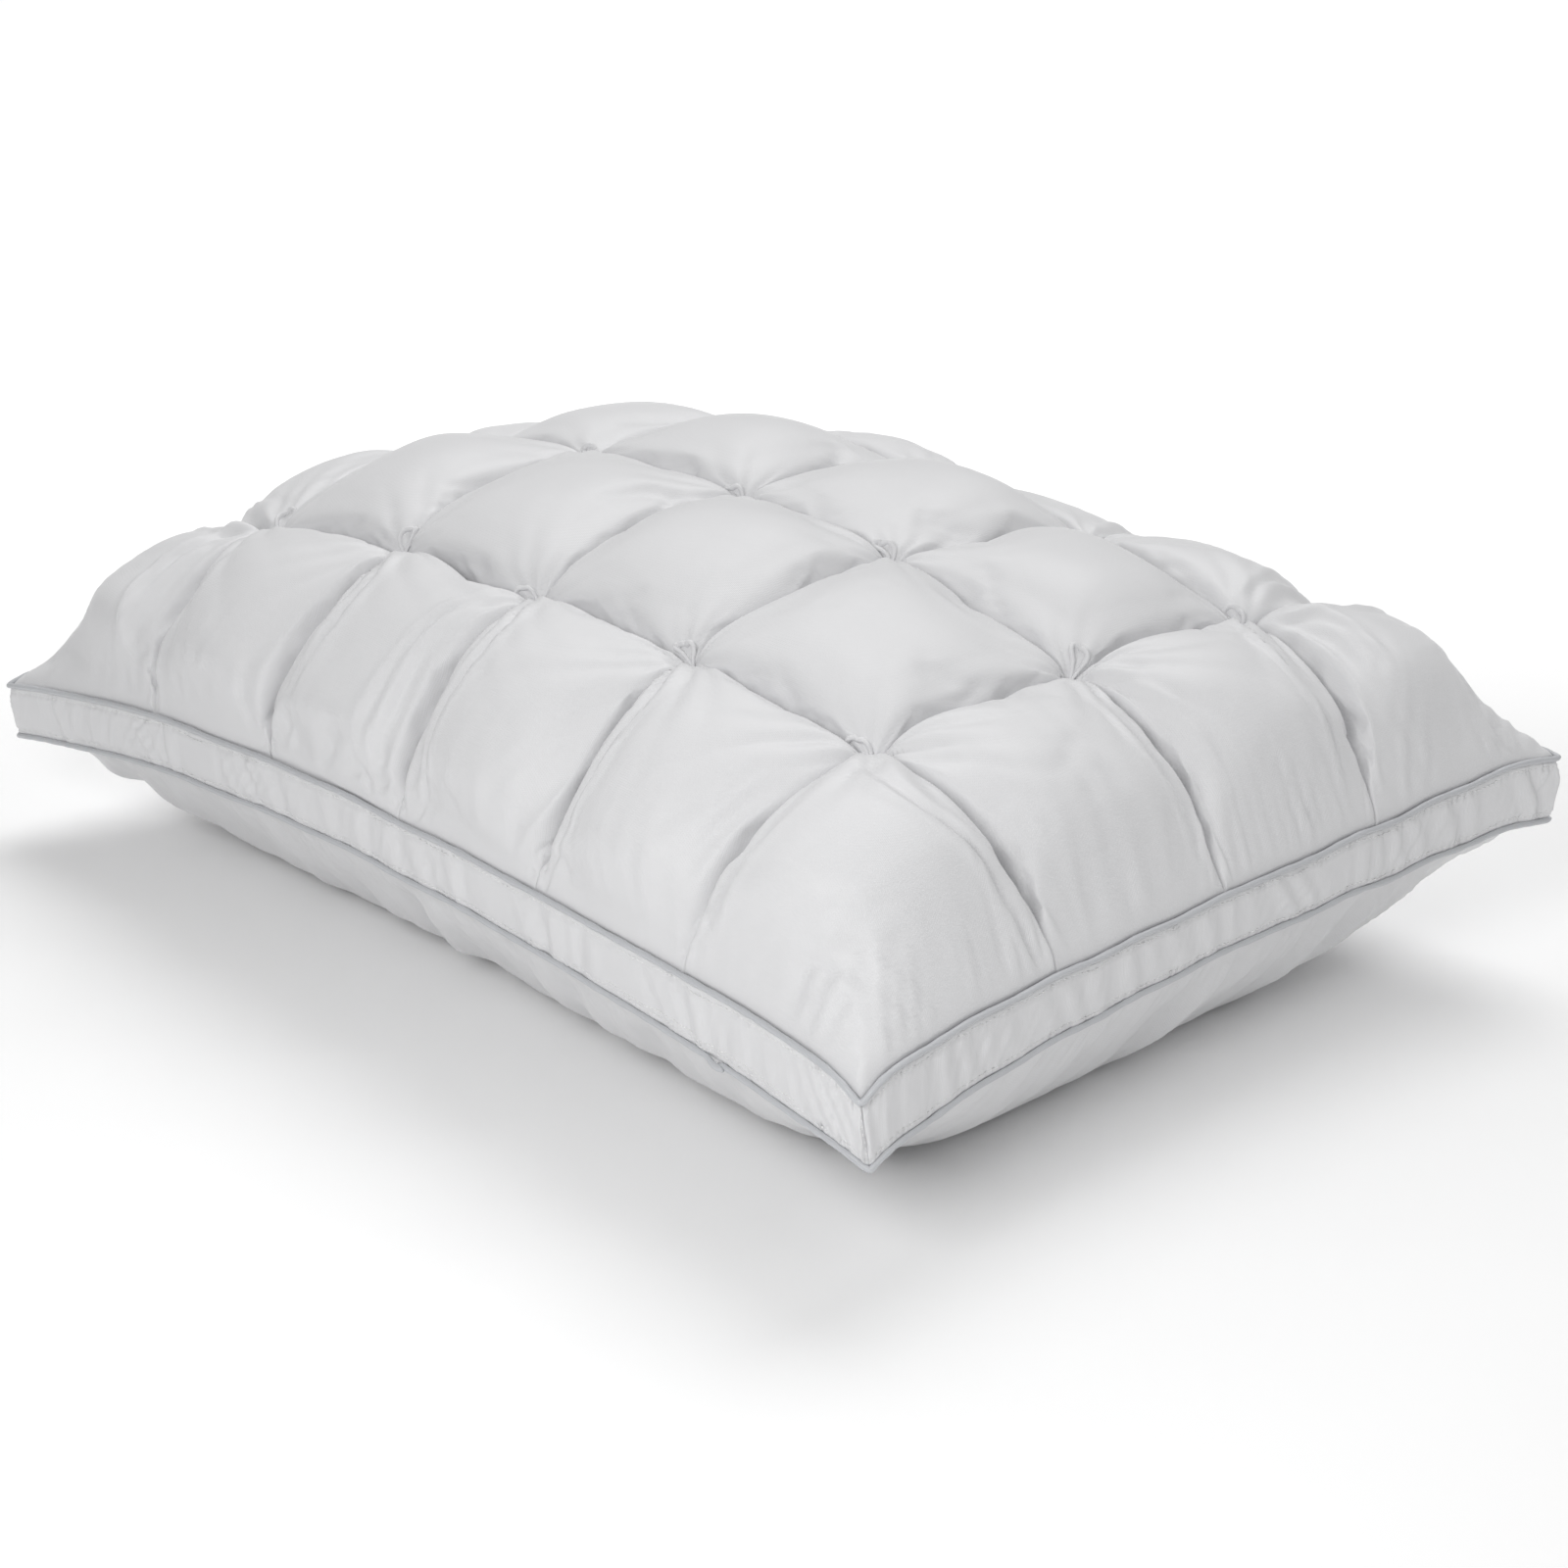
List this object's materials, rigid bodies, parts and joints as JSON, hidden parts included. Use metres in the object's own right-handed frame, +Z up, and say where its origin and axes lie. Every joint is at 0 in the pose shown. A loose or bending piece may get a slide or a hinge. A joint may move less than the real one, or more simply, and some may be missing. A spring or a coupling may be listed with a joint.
{
  "type": "bed pillow",
  "caption": "Rectangular gusseted bed pillow with a puff-quilted white cotton top, a plain bulging underside and two rows of grey satin piping.",
  "frame": {"origin": "middle of the pillow's bounding box, at the level of the flat patch it rests on", "axes": "+X along the long side, towards the right end; +Y along the short side, towards the back; +Z up, from the plain panel to the quilted one"},
  "size_m": [0.7104, 0.5064, 0.2415],
  "materials": {
    "panel_cotton": "fine white cotton weave, matt with a faint sheen",
    "gusset_cotton": "fine white cotton weave, lightly puckered",
    "backing_cloth": "thin white lining",
    "cell_fibre": "white loose fibre",
    "core_fibre": "white loose fibre",
    "piping_satin": "silver grey satin, bias cut",
    "filler_cord": "white cotton cord",
    "thread": "white polyester sewing thread"
  },
  "bodies": {
    "root": {"top_panel": "panel_cotton", "bottom_panel": "panel_cotton", "quilt_backing": "backing_cloth", "core_filling": "core_fibre", "tuck_tacks": "thread", "gusset_front": "gusset_cotton", "gusset_right": "gusset_cotton", "gusset_back": "gusset_cotton", "gusset_left": "gusset_cotton", "top_piping_cover": "piping_satin", "bottom_piping_cover": "piping_satin", "top_piping_cord": "filler_cord", "bottom_piping_cord": "filler_cord", "upper_topstitch": "thread", "lower_topstitch": "thread", "closing_seam": "thread", "gusset_corner_stitches": "thread", "cell_filling_c1_r1": "cell_fibre", "cell_filling_c1_r2": "cell_fibre", "cell_filling_c1_r3": "cell_fibre", "cell_filling_c1_r4": "cell_fibre", "cell_filling_c2_r1": "cell_fibre", "cell_filling_c2_r2": "cell_fibre", "cell_filling_c2_r3": "cell_fibre", "cell_filling_c2_r4": "cell_fibre", "cell_filling_c3_r1": "cell_fibre", "cell_filling_c3_r2": "cell_fibre", "cell_filling_c3_r3": "cell_fibre", "cell_filling_c3_r4": "cell_fibre", "cell_filling_c4_r1": "cell_fibre", "cell_filling_c4_r2": "cell_fibre", "cell_filling_c4_r3": "cell_fibre", "cell_filling_c4_r4": "cell_fibre", "cell_filling_c5_r1": "cell_fibre", "cell_filling_c5_r2": "cell_fibre", "cell_filling_c5_r3": "cell_fibre", "cell_filling_c5_r4": "cell_fibre", "cell_filling_c6_r1": "cell_fibre", "cell_filling_c6_r2": "cell_fibre", "cell_filling_c6_r3": "cell_fibre", "cell_filling_c6_r4": "cell_fibre"}
  },
  "joints": []
}
